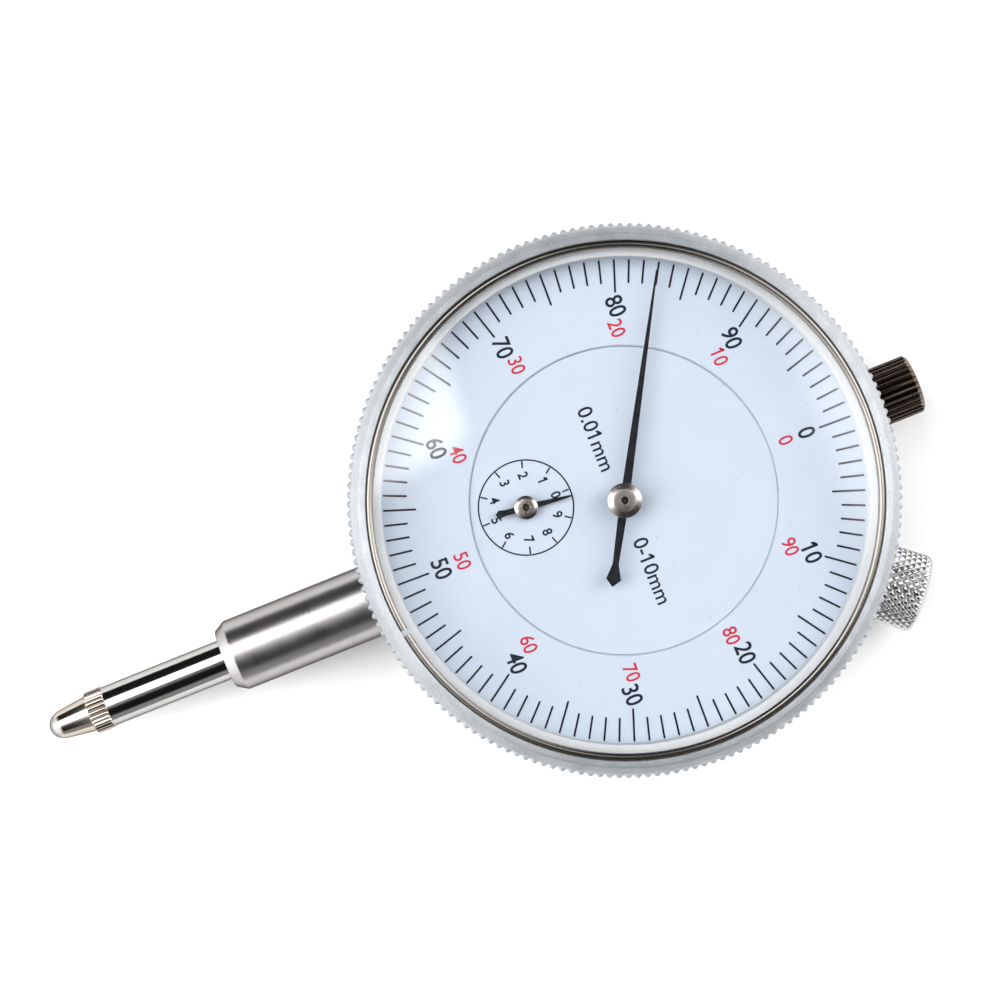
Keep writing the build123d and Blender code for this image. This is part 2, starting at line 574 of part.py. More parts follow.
def small_pointer_hub():
    """Hub of the small pointer."""
    hub = pointer_hub(1.28, SMALL_HUB_NECK_R, 16.15, SMALL_BLADE[1], 17.05, 0.38)
    return Pos(*RACK_ARBOR, 0) * hub


# ------------------------------------------------------------------ bezel and crystal
def bezel():
    """Turned ring with a knurled grip that turns on the case and carries the outer dial."""
    groove = torus(CASE_R, RETAINER_GROOVE_R, RETAINER_Z)
    ring = turned([
        (BEZEL_SLIDE_R, BEZEL_LOW), (BEZEL_SKIRT_R - 0.3, BEZEL_LOW), (BEZEL_SKIRT_R, BEZEL_LOW + 0.3),
        (BEZEL_SKIRT_R, KNURL_LOW), (KNURL_R - 0.9, KNURL_LOW), (KNURL_R - 0.5, KNURL_HIGH),
        (KNURL_R - 0.47, BEZEL_TOP - 2.05), (KNURL_R - 0.75, BEZEL_TOP - 1.0),
        (BEZEL_RIM_R + 0.24, BEZEL_TOP - 0.42), (BEZEL_RIM_R, BEZEL_TOP),
        (BEZEL_OPENING_R, BEZEL_TOP), (BEZEL_OPENING_R, BEZEL_SEAT_Z),
        (BEZEL_SIGHT_R, BEZEL_SEAT_Z), (BEZEL_SIGHT_R, RING_HIGH), (BEZEL_SLIDE_R, RING_HIGH)])
    grip = prism(knurl_outline(), KNURL_LOW, KNURL_HIGH) & turned([
        (28.0, KNURL_LOW), (KNURL_R - 0.9, KNURL_LOW), (KNURL_R, KNURL_LOW + 0.6),
        (KNURL_R, KNURL_HIGH - 0.6), (KNURL_R - 0.5, KNURL_HIGH), (28.0, KNURL_HIGH)])
    return ring + grip - groove


def knurl_outline():
    """Outline of the grip's pointed straight knurls."""
    radii = (KNURL_R, KNURL_R - KNURL_DEPTH)
    return [polar(radii[k % 2], 180 * k / KNURL_TEETH) for k in range(2 * KNURL_TEETH)]


def crystal():
    """Slightly domed window with a flat rim."""
    edge_r = BEZEL_OPENING_R - 0.12
    rise = 0.5
    sphere_r = (edge_r ** 2 + rise ** 2) / (2 * rise)
    thickness = CRYSTAL_EDGE_Z - BEZEL_SEAT_Z
    outer = Pos(0, 0, CRYSTAL_EDGE_Z + rise - sphere_r) * Sphere(sphere_r)
    hollow = Pos(0, 0, BEZEL_SEAT_Z + 0.1 + rise - sphere_r) * Sphere(sphere_r)
    blank = disc(edge_r, BEZEL_SEAT_Z, BEZEL_SEAT_Z + thickness + 2 * rise) & outer
    return blank - (hollow & disc(BEZEL_SIGHT_R, BEZEL_SEAT_Z - 1, CRYSTAL_EDGE_Z + rise))


def crystal_snap_ring():
    """Split wire ring that holds the crystal in the bezel."""
    wire_r = 0.39
    ring = Torus(BEZEL_OPENING_R - wire_r - 0.03, wire_r, major_angle=358.6)
    return Pos(0, 0, CRYSTAL_EDGE_Z + 0.03 + wire_r) * Rot(0, 0, 279.8) * ring


# ------------------------------------------------------------------ bezel clamp
def clamp_shoe():
    """Curved tab under the knob that is pressed against the bezel's skirt."""
    tab = disc(29.5, 3.4, 13.0) - disc(28.75, 3, 14)
    slab = CLAMP_LINE * Pos(0, 0, 25) * Box(20, 7.0, 12, align=BOTTOM)
    return (tab & slab) - CLAMP_LINE * disc(CLAMP_SCREW_R + FIT, 20, 35)


def clamp_screw():
    """Knurled thumb screw, domed at its outer end."""
    dome = 0.7
    dome_r = (CLAMP_KNOB_R ** 2 + dome ** 2) / (2 * dome)
    knob = turned([(0, CLAMP_KNOB_LOW), (CLAMP_KNOB_R - 0.4, CLAMP_KNOB_LOW),
                   (CLAMP_KNOB_R, CLAMP_KNOB_LOW + 0.35), (CLAMP_KNOB_R, CLAMP_KNOB_END),
                   (0, CLAMP_KNOB_END)])
    knob = knob & Pos(0, 0, CLAMP_KNOB_END - dome_r) * Sphere(dome_r)
    shank = turned([(0, 24.9), (1.6, 24.9), (CLAMP_SCREW_R, 25.3), (CLAMP_SCREW_R, 30), (0, 30)])
    return CLAMP_LINE * (knob + shank)


# ------------------------------------------------------------------ write the sub-parts
SUBPARTS = [
    case_body, back_cover, back_cover_screws, stem, upper_bush, bezel_retaining_wire,
    spindle, contact_point, contact_ball, spindle_cap, guide_pin, return_spring,
    movement_bridge, bridge_pillars, bridge_screws, pinion_cock, cock_pillars, cock_screws,
    front_bushes, bridge_bushes, cock_bush, guide_bar, guide_bar_screws, spring_post,
    rack_pinion, intermediate_gear, centre_pinion, takeup_arbor, takeup_gear,
    hairspring_collet, hairspring, hairspring_stud,
    inner_dial, outer_dial_ring, main_pointer, main_pointer_hub, small_pointer,
    small_pointer_hub, bezel, crystal, crystal_snap_ring, clamp_shoe, clamp_screw,
]

for subpart in SUBPARTS:
    shape = subpart()
    if isinstance(shape, list):
        shape = Compound(children=shape)
    export_step(shape, f"parts/{subpart.__name__}.step")
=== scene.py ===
import json
from math import atan2, cos, degrees, hypot, pi, radians, sin, sqrt

import bmesh
import bpy
from mathutils import Matrix, Vector


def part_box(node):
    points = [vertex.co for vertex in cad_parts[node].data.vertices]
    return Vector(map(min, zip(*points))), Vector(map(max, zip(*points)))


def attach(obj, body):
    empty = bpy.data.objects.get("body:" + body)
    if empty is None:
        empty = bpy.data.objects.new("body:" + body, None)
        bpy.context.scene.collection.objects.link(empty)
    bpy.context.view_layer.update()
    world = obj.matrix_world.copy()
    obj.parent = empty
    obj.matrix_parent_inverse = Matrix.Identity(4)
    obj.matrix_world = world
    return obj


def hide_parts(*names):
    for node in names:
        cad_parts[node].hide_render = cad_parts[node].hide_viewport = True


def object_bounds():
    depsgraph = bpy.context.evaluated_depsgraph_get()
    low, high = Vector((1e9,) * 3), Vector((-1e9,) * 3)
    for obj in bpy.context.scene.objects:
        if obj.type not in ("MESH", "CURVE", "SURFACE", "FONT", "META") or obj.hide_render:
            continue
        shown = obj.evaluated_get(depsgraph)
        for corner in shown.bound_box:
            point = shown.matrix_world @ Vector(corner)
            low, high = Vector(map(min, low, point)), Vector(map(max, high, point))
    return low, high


# A plunger dial indicator, seen from straight above its dial. Shapes are worked out in
# millimetres in the part's frame (dial axis +Z, stem along -Y) and turned into metres at the end.

MM = 0.001
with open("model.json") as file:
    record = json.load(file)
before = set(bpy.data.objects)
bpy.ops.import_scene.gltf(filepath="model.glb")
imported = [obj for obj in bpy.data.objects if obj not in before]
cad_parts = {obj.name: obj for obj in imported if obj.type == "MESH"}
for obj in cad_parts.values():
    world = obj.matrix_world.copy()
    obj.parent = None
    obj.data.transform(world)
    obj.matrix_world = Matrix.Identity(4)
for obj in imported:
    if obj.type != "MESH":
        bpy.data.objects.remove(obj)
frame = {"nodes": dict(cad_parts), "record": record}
cad_low, cad_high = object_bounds()


class Span:
    """Where a CAD node lies at rest, in millimetres."""

    def __init__(self, node):
        low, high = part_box(node)
        self.low, self.high = low / MM, high / MM
        self.middle = (self.low + self.high) / 2
        self.size = self.high - self.low


# ------------------------------------------------------------------ mesh helpers
def fillet(corners, radius, steps=3, closed=True):
    """The polyline's corners as small arcs of about the given radius."""
    out = []
    count = len(corners)
    for k, corner in enumerate(corners):
        here = Vector(corner)
        if not closed and k in (0, count - 1):
            out.append(tuple(here))
            continue
        before = Vector(corners[k - 1]) - here
        after = Vector(corners[(k + 1) % count]) - here
        reach = min(radius, 0.45 * before.length, 0.45 * after.length)
        start = here + before.normalized() * reach
        end = here + after.normalized() * reach
        for step in range(steps + 1):
            t = step / steps
            point = start * (1 - t) ** 2 + here * 2 * t * (1 - t) + end * t ** 2
            out.append(tuple(point))
    return out


def add_revolved(bm, profile, segments, closed=True, shape=None):
    """Revolves (radius, height) points about Z. Points on the axis become poles."""
    rings = []
    for r, z in profile:
        if r < 1e-6:
            rings.append([bm.verts.new((0, 0, z))])
            continue
        ring = []
        for k in range(segments):
            a = 2 * pi * k / segments
            radius = shape(r, z, k) if shape else r
            ring.append(bm.verts.new((radius * cos(a), radius * sin(a), z)))
        rings.append(ring)
    pairs = list(zip(rings, rings[1:]))
    if closed:
        pairs.append((rings[-1], rings[0]))
    for one, two in pairs:
        for k in range(segments):
            n = (k + 1) % segments
            if len(one) == 1 and len(two) == 1:
                break
            if len(one) == 1:
                bm.faces.new((one[0], two[k], two[n]))
            elif len(two) == 1:
                bm.faces.new((one[k], two[0], one[n]))
            else:
                bm.faces.new((one[k], two[k], two[n], one[n]))


def add_outline(bm, corners, low, high, edge=0.0):
    """Flat plate on a closed outline, its upper rim set in by edge."""
    middle = sum((Vector(c) for c in corners), Vector((0, 0))) / len(corners)
    rows = []
    for z, inset in ((low, 0.0), (high - edge, 0.0), (high, edge)):
        row = []
        for corner in corners:
            inward = (middle - Vector(corner)).normalized() * inset
            row.append(bm.verts.new((corner[0] + inward.x, corner[1] + inward.y, z)))
        rows.append(row)
    count = len(corners)
    for one, two in zip(rows, rows[1:]):
        for k in range(count):
            n = (k + 1) % count
            bm.faces.new((one[k], one[n], two[n], two[k]))
    bm.faces.new(rows[-1])
    bm.faces.new(list(reversed(rows[0])))


def add_tube(bm, centres, radius, sides):
    """Round wire along points, with flat ends."""
    rings = []
    for k, centre in enumerate(centres):
        before = centres[max(k - 1, 0)]
        after = centres[min(k + 1, len(centres) - 1)]
        along = (after - before).normalized()
        side = along.cross(Vector((0, 0, 1))).normalized()
        up = side.cross(along)
        rings.append([bm.verts.new(centre + radius * (side * cos(2 * pi * s / sides)
                                                      + up * sin(2 * pi * s / sides)))
                      for s in range(sides)])
    for one, two in zip(rings, rings[1:]):
        for s in range(sides):
            n = (s + 1) % sides
            bm.faces.new((one[s], two[s], two[n], one[n]))
    bm.faces.new(rings[0])
    bm.faces.new(list(reversed(rings[-1])))


def piece(name, bm, material, body, nodes=(), place=None, sharp=35):
    """Turns the millimetre mesh into a piece that rides on a body."""
    bmesh.ops.recalc_face_normals(bm, faces=bm.faces)
    mesh = bpy.data.meshes.new(name)
    bm.to_mesh(mesh)
    bm.free()
    if place is not None:
        mesh.transform(place)
    mesh.transform(Matrix.Scale(MM, 4))
    mesh.shade_smooth()
    mesh.set_sharp_from_angle(angle=radians(sharp))
    mesh.materials.append(material)
    made = bpy.data.objects.new(name, mesh)
    bpy.context.scene.collection.objects.link(made)
    weighted = made.modifiers.new("weighted_normals", "WEIGHTED_NORMAL")
    weighted.keep_sharp = True
    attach(made, body)
    if nodes:
        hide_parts(*nodes)
    return made


# ------------------------------------------------------------------ material helpers
class Tree:
    """A material's node tree, with short calls for the nodes used here."""

    def __init__(self, name):
        self.material = bpy.data.materials.new(name)
        self.material.use_nodes = True
        self.tree = self.material.node_tree
        self.tree.nodes.clear()
        self.output = self.tree.nodes.new("ShaderNodeOutputMaterial")

    def new(self, kind, inputs=None, **settings):
        made = self.tree.nodes.new(kind)
        for key, value in settings.items():
            setattr(made, key, value)
        for key, value in (inputs or {}).items():
            if isinstance(value, bpy.types.NodeSocket):
                self.tree.links.new(value, made.inputs[key])
            else:
                made.inputs[key].default_value = value
        return made

    def place(self, offset=(0, 0, 0)):
        """Coordinates on the piece, in millimetres."""
        source = self.new("ShaderNodeTexCoord").outputs["Object"]
        shift = tuple(-v for v in offset)
        return self.new("ShaderNodeMapping", {"Vector": source, "Location": shift,
                                              "Scale": (1 / MM,) * 3}).outputs[0]

    def maths(self, operation, *values):
        return self.new("ShaderNodeMath", dict(enumerate(values)), operation=operation).outputs[0]

    def noise(self, vector, scale, detail=3.0, roughness=0.55):
        return self.new("ShaderNodeTexNoise", {"Vector": vector, "Scale": scale, "Detail": detail,
                                               "Roughness": roughness}).outputs["Fac"]

    def ramp(self, value, low, high, out_low=0.0, out_high=1.0):
        return self.new("ShaderNodeMapRange", {"Value": value, 1: low, 2: high, 3: out_low,
                                               4: out_high}).outputs[0]

    def mix(self, share, one, two):
        made = self.new("ShaderNodeMix", data_type="RGBA")
        for key, value in ((0, share), (6, one), (7, two)):
            if isinstance(value, bpy.types.NodeSocket):
                self.tree.links.new(value, made.inputs[key])
            else:
                made.inputs[key].default_value = value if key == 0 else (*value, 1.0)
        return made.outputs[2]

    def bump(self, height, strength, distance, normal=None):
        inputs = {"Height": height, "Strength": strength, "Distance": distance * MM}
        if normal is not None:
            inputs["Normal"] = normal
        return self.new("ShaderNodeBump", inputs).outputs[0]

    def principled(self, **inputs):
        renamed = {key.replace("_", " "): value for key, value in inputs.items()}
        shader = self.new("ShaderNodeBsdfPrincipled", renamed)
        self.tree.links.new(shader.outputs[0], self.output.inputs[0])
        return shader


def lathe_lines(tree, vector, axis, pitch):
    """Fine irregular lines left by turning: they run round the axis and change along it."""
    parts = tree.new("ShaderNodeSeparateXYZ", {0: vector}).outputs
    across = [parts[k] for k in range(3) if k != "XYZ".index(axis)]
    radius = tree.maths("SQRT", tree.maths("ADD", tree.maths("MULTIPLY", across[0], across[0]),
                                           tree.maths("MULTIPLY", across[1], across[1])))
    along = tree.maths("ADD", tree.maths("MULTIPLY", radius, 0.83), parts["XYZ".index(axis)])
    line = tree.new("ShaderNodeCombineXYZ", {0: along}).outputs[0]
    return tree.noise(line, 1 / pitch, detail=4.0, roughness=0.7)


LINE_DEPTH = 0.012              # height of turning lines, in millimetres
GRAIN_DEPTH = 0.006
ACROSS_GROOVES = 0.25           # a quarter turn: the shine spreads across the turning lines


def metal(name, colour, roughness, axis="Z", centre=(0, 0, 0), pitch=0.12, lines=0.35, grain=0.25,
          stain=0.08, spread=0.06, anisotropy=0.0, edge=1.0):
    """Machined metal: turning lines, fine grain, and faint handling marks in colour and gloss."""
    tree = Tree(name)
    vector = tree.place(centre)
    turned = lathe_lines(tree, vector, axis, pitch)
    fine = tree.noise(vector, 14.0, detail=4.0)
    smudge = tree.noise(vector, 0.35, detail=4.0)
    dark = tuple(c * (1 - 2.2 * stain) for c in colour)
    light = tuple(min(1.0, c * (1 + stain)) for c in colour)
    shade = tree.mix(tree.ramp(tree.maths("ADD", turned, fine), 0.7, 1.3), dark, light)
    shade = tree.mix(tree.ramp(smudge, 0.35, 0.75, 0.0, 0.45), shade, tuple(c * 0.86 for c in colour))
    gloss = tree.ramp(tree.maths("ADD", smudge, turned), 0.6, 1.4, roughness - spread, roughness + spread)
    normal = tree.bump(turned, lines, LINE_DEPTH)
    normal = tree.bump(fine, grain, GRAIN_DEPTH, normal)
    inputs = {"Base_Color": shade, "Metallic": 1.0, "Roughness": gloss, "Normal": normal,
              "Specular_Tint": (edge, edge, edge, 1.0)}
    if anisotropy:
        inputs["Anisotropic"] = anisotropy
        inputs["Anisotropic_Rotation"] = ACROSS_GROOVES
        inputs["Tangent"] = tree.new("ShaderNodeTangent", direction_type="RADIAL", axis=axis).outputs[0]
    tree.principled(**inputs)
    return tree.material


LIP_R = 27.30                   # inside it the bezel looks pale and even, outside it looks turned


def cast_aluminium():
    """Satin aluminium of the bezel: a fine grain with bright specks, turning lines on the face."""
    tree = Tree("bezel_aluminium_satin")
    vector = tree.place()
    turned = lathe_lines(tree, vector, "Z", 0.10)
    fine = tree.noise(vector, 9.0, detail=6.0, roughness=0.7)
    specks = tree.noise(vector, 5.5, detail=2.0, roughness=0.8)
    cloud = tree.noise(vector, 0.5, detail=4.0)
    shade = tree.mix(tree.ramp(fine, 0.35, 0.7), (0.27, 0.285, 0.305), (0.50, 0.515, 0.535))
    shade = tree.mix(tree.ramp(cloud, 0.4, 0.7, 0.0, 0.4), shade, (0.28, 0.295, 0.315))
    shade = tree.mix(tree.ramp(specks, 0.66, 0.74), shade, (0.92, 0.92, 0.93))
    parts = tree.new("ShaderNodeSeparateXYZ", {0: vector}).outputs
    radius = tree.maths("SQRT", tree.maths("ADD", tree.maths("MULTIPLY", parts[0], parts[0]),
                                           tree.maths("MULTIPLY", parts[1], parts[1])))
    lip = tree.mix(tree.ramp(fine, 0.3, 0.7), (0.60, 0.60, 0.60), (0.67, 0.67, 0.67))
    on_rim = tree.ramp(radius, LIP_R, LIP_R + 0.10)
    shade = tree.mix(on_rim, lip, shade)
    gloss = tree.ramp(tree.maths("ADD", fine, cloud), 0.7, 1.3, 0.34, 0.52)
    normal = tree.bump(turned, 0.35, LINE_DEPTH)
    normal = tree.bump(fine, tree.ramp(on_rim, 0.0, 1.0, 0.15, 0.9), 0.030, normal)
    tree.principled(Base_Color=shade, Roughness=gloss, Normal=normal,
                    Metallic=tree.ramp(on_rim, 0.0, 1.0, 0.12, 0.85),
                    Anisotropic=0.9, Anisotropic_Rotation=ACROSS_GROOVES,
                    Tangent=tree.new("ShaderNodeTangent", direction_type="RADIAL", axis="Z").outputs[0])
    return tree.material


def enamel():
    """Pale blue-white dial lacquer, faintly mottled, with a few specks of dust."""
    tree = Tree("dial_enamel_pale")
    vector = tree.place()
    cloud = tree.noise(vector, 0.18, detail=3.0)
    fine = tree.noise(vector, 6.0, detail=5.0, roughness=0.7)
    dust = tree.noise(vector, 1.9, detail=1.0, roughness=0.3)
    shade = tree.mix(tree.ramp(cloud, 0.35, 0.65), (0.477, 0.530, 0.603), (0.500, 0.550, 0.618))
    shade = tree.mix(tree.ramp(fine, 0.3, 0.7, 0.0, 0.35), shade, (0.497, 0.547, 0.623))
    shade = tree.mix(tree.ramp(dust, 0.790, 0.805, 0.0, 0.5), shade, (0.19, 0.23, 0.29))
    normal = tree.bump(fine, 0.15, 0.004)
    tree.principled(Base_Color=shade, Roughness=tree.ramp(fine, 0.3, 0.7, 0.46, 0.58), Normal=normal,
                    Specular_IOR_Level=0.35)
    return tree.material


def ink(name, colour, worn):
    """Printing ink, a little uneven in depth."""
    tree = Tree(name)
    vector = tree.place()
    body = tree.noise(vector, 7.0, detail=4.0)
    shade = tree.mix(tree.ramp(body, 0.45, 0.8, 0.0, 0.5), colour, worn)
    normal = tree.bump(body, 0.2, 0.003)
    tree.principled(Base_Color=shade, Roughness=tree.ramp(body, 0.3, 0.7, 0.30, 0.45), Normal=normal,
                    Specular_IOR_Level=0.12)
    return tree.material


def matt_black():
    """Blackened pointer with a soft sheen and faint brushing along the blade."""
    tree = Tree("pointer_matt_black")
    vector = tree.place()
    fine = tree.noise(vector, 18.0, detail=4.0)
    rub = tree.noise(vector, 1.1, detail=3.0)
    shade = tree.mix(tree.ramp(rub, 0.45, 0.75), (0.004, 0.005, 0.008), (0.014, 0.015, 0.020))
    normal = tree.bump(fine, 0.3, 0.003)
    tree.principled(Base_Color=shade, Roughness=tree.ramp(fine, 0.3, 0.7, 0.20, 0.34), Normal=normal,
                    Specular_IOR_Level=0.15)
    return tree.material


WINDOW_INDEX = 1.72             # above acrylic's own 1.49: it sets how strongly the window shines


def clear_acrylic():
    """Clear window: faces seen from outside mirror a share, faces seen from inside only let pass."""
    tree = Tree("crystal_clear")
    vector = tree.place()
    haze = tree.noise(vector, 0.4, detail=4.0)
    mirror = tree.new("ShaderNodeBsdfAnisotropic",
                      {"Color": (1, 1, 1, 1), "Roughness": tree.ramp(haze, 0.3, 0.7, 0.015, 0.04)})
    clear = tree.new("ShaderNodeBsdfTransparent", {"Color": (0.985, 0.992, 1.0, 1)})
    outward = tree.maths("SUBTRACT", 1.0, tree.new("ShaderNodeNewGeometry").outputs["Backfacing"])
    fresnel = tree.new("ShaderNodeFresnel", {"IOR": WINDOW_INDEX}).outputs[0]
    share = tree.maths("MULTIPLY", fresnel, outward)
    both = tree.new("ShaderNodeMixShader", {0: share, 1: clear.outputs[0], 2: mirror.outputs[0]})
    tree.tree.links.new(both.outputs[0], tree.output.inputs[0])
    return tree.material


# ------------------------------------------------------------------ materials of the CAD nodes
rack_arbor = Span("rack_pinion").middle
takeup = Span("takeup_arbor").middle
spindle_z = Span("spindle").middle.z
plunger_axis = (0, 0, spindle_z)

bezel_metal = cast_aluminium()
dial_paint = enamel()
black_ink = ink("print_black_ink", (0.005, 0.010, 0.020), (0.020, 0.030, 0.050))
red_ink = ink("print_red_ink", (0.50, 0.014, 0.036), (0.56, 0.065, 0.085))
black_paint = matt_black()
acrylic = clear_acrylic()
ground = metal("ground_steel_stem", (0.43, 0.415, 0.41), 0.30, "Y", plunger_axis, pitch=0.09, lines=0.3,
               grain=0.5, stain=0.05, anisotropy=0.4, edge=0.1)
polished = metal("polished_steel_spindle", (0.50, 0.49, 0.48), 0.11, "Y", plunger_axis, pitch=0.14,
                 lines=0.2, grain=0.2, stain=0.03, spread=0.03, edge=0.1)
nickel = metal("nickel_contact_point", (0.54, 0.485, 0.43), 0.15, "Y", plunger_axis, lines=0.25,
               grain=0.2, stain=0.05, spread=0.03, edge=0.1)
ball_steel = metal("lapped_ball_steel", (0.36, 0.355, 0.35), 0.14, "Y", plunger_axis, lines=0.1,
                   grain=0.1, stain=0.03, spread=0.03, edge=0.1)
black_nickel = metal("black_nickel_cap", (0.115, 0.090, 0.073), 0.10, "Y", plunger_axis, lines=0.05,
                     grain=0.15, stain=0.10, spread=0.04)
knob_nickel = metal("knob_nickel_knurled", (0.46, 0.45, 0.46), 0.10, "Z", (0, 0, 0), lines=0.05,
                    grain=0.15, stain=0.06)
ring_metal = metal("snap_ring_nickel_brass", (0.225, 0.208, 0.190), 0.20, "Z", (0, 0, 0), lines=0.05,
                   grain=0.08, stain=0.08, spread=0.04)
hub_metal = metal("hub_turned_steel", (0.37, 0.325, 0.295), 0.21, "Z", (0, 0, 0), pitch=0.05, lines=0.06,
                  grain=0.5, stain=0.08, spread=0.03)
small_hub_metal = metal("small_hub_turned_steel", (0.40, 0.35, 0.32), 0.19, "Z",
                        (rack_arbor.x, rack_arbor.y, 0), pitch=0.05, lines=0.06, grain=0.5,
                        stain=0.10)
case_metal = metal("case_cast_aluminium", (0.42, 0.43, 0.45), 0.46, "Z", (0, 0, 0), pitch=0.2,
                   lines=0.3, grain=0.8, stain=0.07)
brass = metal("brass_plate", (0.80, 0.60, 0.28), 0.30, "Z", (0, 0, 0), pitch=0.15, grain=0.5)
gear_brass = metal("gear_brass_cut", (0.83, 0.64, 0.31), 0.24, "Z",
                   (rack_arbor.x, rack_arbor.y, 0), pitch=0.1, grain=0.3)
bronze = metal("bush_bronze_turned", (0.70, 0.46, 0.26), 0.30, "Z", (0, 0, 0), pitch=0.08)
spring_steel = metal("spring_steel_wire", (0.52, 0.52, 0.54), 0.24, "Z", (0, 0, 0), grain=0.3)
screw_steel = metal("screw_steel_turned", (0.56, 0.56, 0.57), 0.28, "Z", (0, 0, 0), pitch=0.08)
# painted shade: a near-black colour on the two pointer arbors stands in for the shade inside the hubs'
# holes
arbor_steel_painted_shade = metal("arbor_steel_painted_shade_dark", (0.045, 0.034, 0.026), 0.40, "Z", (0, 0, 0), pitch=0.08)

SLOT_MATERIALS = {
    "case_aluminium": case_metal, "bezel_aluminium": bezel_metal, "ground_steel": ground,
    "polished_steel": polished, "nickel_plate": nickel, "ball_steel": ball_steel,
    "black_chrome": black_nickel, "knob_nickel": knob_nickel, "snap_ring_brass": ring_metal,
    "screw_steel": screw_steel, "spring_steel": spring_steel, "brass": brass,
    "gear_brass": gear_brass, "bush_bronze": bronze, "dial_enamel": dial_paint,
    "pointer_black": black_paint, "hub_steel": hub_metal, "crystal_acrylic": acrylic,
}
slot_of = {part["node"]: part["material_slot"] for part in frame["record"]["subparts"]}
PAINTED_SHADE_ARBORS = ("centre_pinion", "rack_pinion")     # painted shade: these arbors get a near-black colour so their ends read as the shaded holes in the hubs
for node, made in frame["nodes"].items():
    for holder in made.material_slots:
        holder.material = arbor_steel_painted_shade if node in PAINTED_SHADE_ARBORS else SLOT_MATERIALS[slot_of[node]]


# ------------------------------------------------------------------ turned pieces on the plunger's axis
def along_plunger():
    """Turns a shape about Z into one about the plunger's axis, its Z along +Y."""
    return Matrix.Translation((0, 0, spindle_z)) @ Matrix.Rotation(-pi / 2, 4, "X")


def build_stem():
    """Ground stem: chamfered nose, bore, and the press seat inside the case."""
    stem, spindle = Span("stem"), Span("spindle")
    outer_r = stem.high.x
    bore_r = spindle.high.x + 0.03
    nose, inner = stem.low.y, stem.high.y
    shoulder = nose + 20.7
    seat_r = outer_r - 0.3
    bore_chamfer = 0.15
    nose_chamfer, nose_length = 0.75, 1.2
    corners = [(bore_r, nose + bore_chamfer), (bore_r + bore_chamfer, nose),
               (outer_r - nose_chamfer, nose), (outer_r, nose + nose_length), (outer_r, shoulder),
               (seat_r, shoulder), (seat_r, inner), (bore_r, inner)]
    bm = bmesh.new()
    add_revolved(bm, fillet(corners, 0.10), 160)
    return piece("stem_ground", bm, ground, "case", ["stem"], along_plunger())


def knurl_depth(k, per_tooth):
    """Share of a straight knurl's depth taken off at step k: rounded ridges, sharp valleys."""
    return 1 - abs(sin(pi * (k % per_tooth) / per_tooth))


def build_contact_point():
    """Contact point: straight-knurled collar, taper to the ball, and its thread."""
    point, spindle = Span("contact_point"), Span("spindle")
    face, tip = spindle.low.y, point.low.y
    collar_r = point.size.x / 2
    collar_low = face - 2.1
    per_tooth, teeth, depth = 10, 26, 0.17
    thread_r = 1.25

    def knurled(r, z, k):
        on_collar = r > collar_r - 0.2 and collar_low + 0.05 < z < face - 0.02
        return r - depth * knurl_depth(k, per_tooth) if on_collar else r

    corners = [(0, tip + 0.25), (1.40, tip + 0.05), (1.50, tip + 0.3), (1.58, tip + 0.55),
               (2.03, collar_low), (collar_r - 0.06, collar_low),
               (collar_r, collar_low + 0.15), (collar_r, face - 0.15), (collar_r - 0.12, face),
               (thread_r, face), (thread_r, point.high.y - 0.2), (thread_r - 0.2, point.high.y),
               (0, point.high.y)]
    bm = bmesh.new()
    add_revolved(bm, fillet(corners, 0.08, closed=False), per_tooth * teeth, closed=False,
                 shape=knurled)
    return piece("contact_point_knurled", bm, nickel, "plunger", ["contact_point"],
                 along_plunger(), sharp=50)


def build_cap():
    """Fluted cap on the plunger's top, with a small recess in its end."""
    cap, spindle = Span("spindle_cap"), Span("spindle")
    outer_r = cap.size.x / 2
    low, high = cap.low.y, cap.high.y
    bore_r = 1.3
    per_tooth, teeth, depth = 10, 28, 0.30
    flute_r, flute_run = 2.7, 0.4       # flutes start here and reach full depth over the run

    def fluted(r, z, k):
        share = min(1.0, max(0.0, (r - flute_r) / flute_run))
        return r - depth * knurl_depth(k, per_tooth) * share

    corners = [(bore_r, low), (outer_r - 0.35, low), (outer_r, low + 0.3), (outer_r, high - 0.45),
               (outer_r - 0.3, high - 0.12), (outer_r - 0.7, high), (1.2, high), (0, high - 0.05)]
    roof = [(0, spindle.high.y), (bore_r, spindle.high.y)]
    bm = bmesh.new()
    add_revolved(bm, roof + fillet(corners, 0.10, closed=False), per_tooth * teeth, closed=False,
                 shape=fluted)
    return piece("spindle_cap_fluted", bm, black_nickel, "plunger", ["spindle_cap"],
                 along_plunger(), sharp=50)


# ------------------------------------------------------------------ bezel, crystal and snap ring
KNURL_TEETH = 180
KNURL_STEPS = 6                 # mesh steps across one knurl
KNURL_DEPTH = 0.42
RIM_R = 28.23                   # outer edge of the bezel's flat top
SHOULDER = [(0.90, 2.05), (0.62, 1.0), (0.24, 0.42), (-0.03, 0.0)]    # outward of the rim, down
OPENING_R = 27.47               # bore that holds the crystal and its split ring
SIGHT_R = 25.9                  # inner edge of the ledge under the crystal
SLIDE_R = 26.35                 # bore that turns on the case
SEAT_Z = 19.2                   # height of the ledge
CRYSTAL_GAP = 0.012             # keeps the window's faces off the ledge it rests on


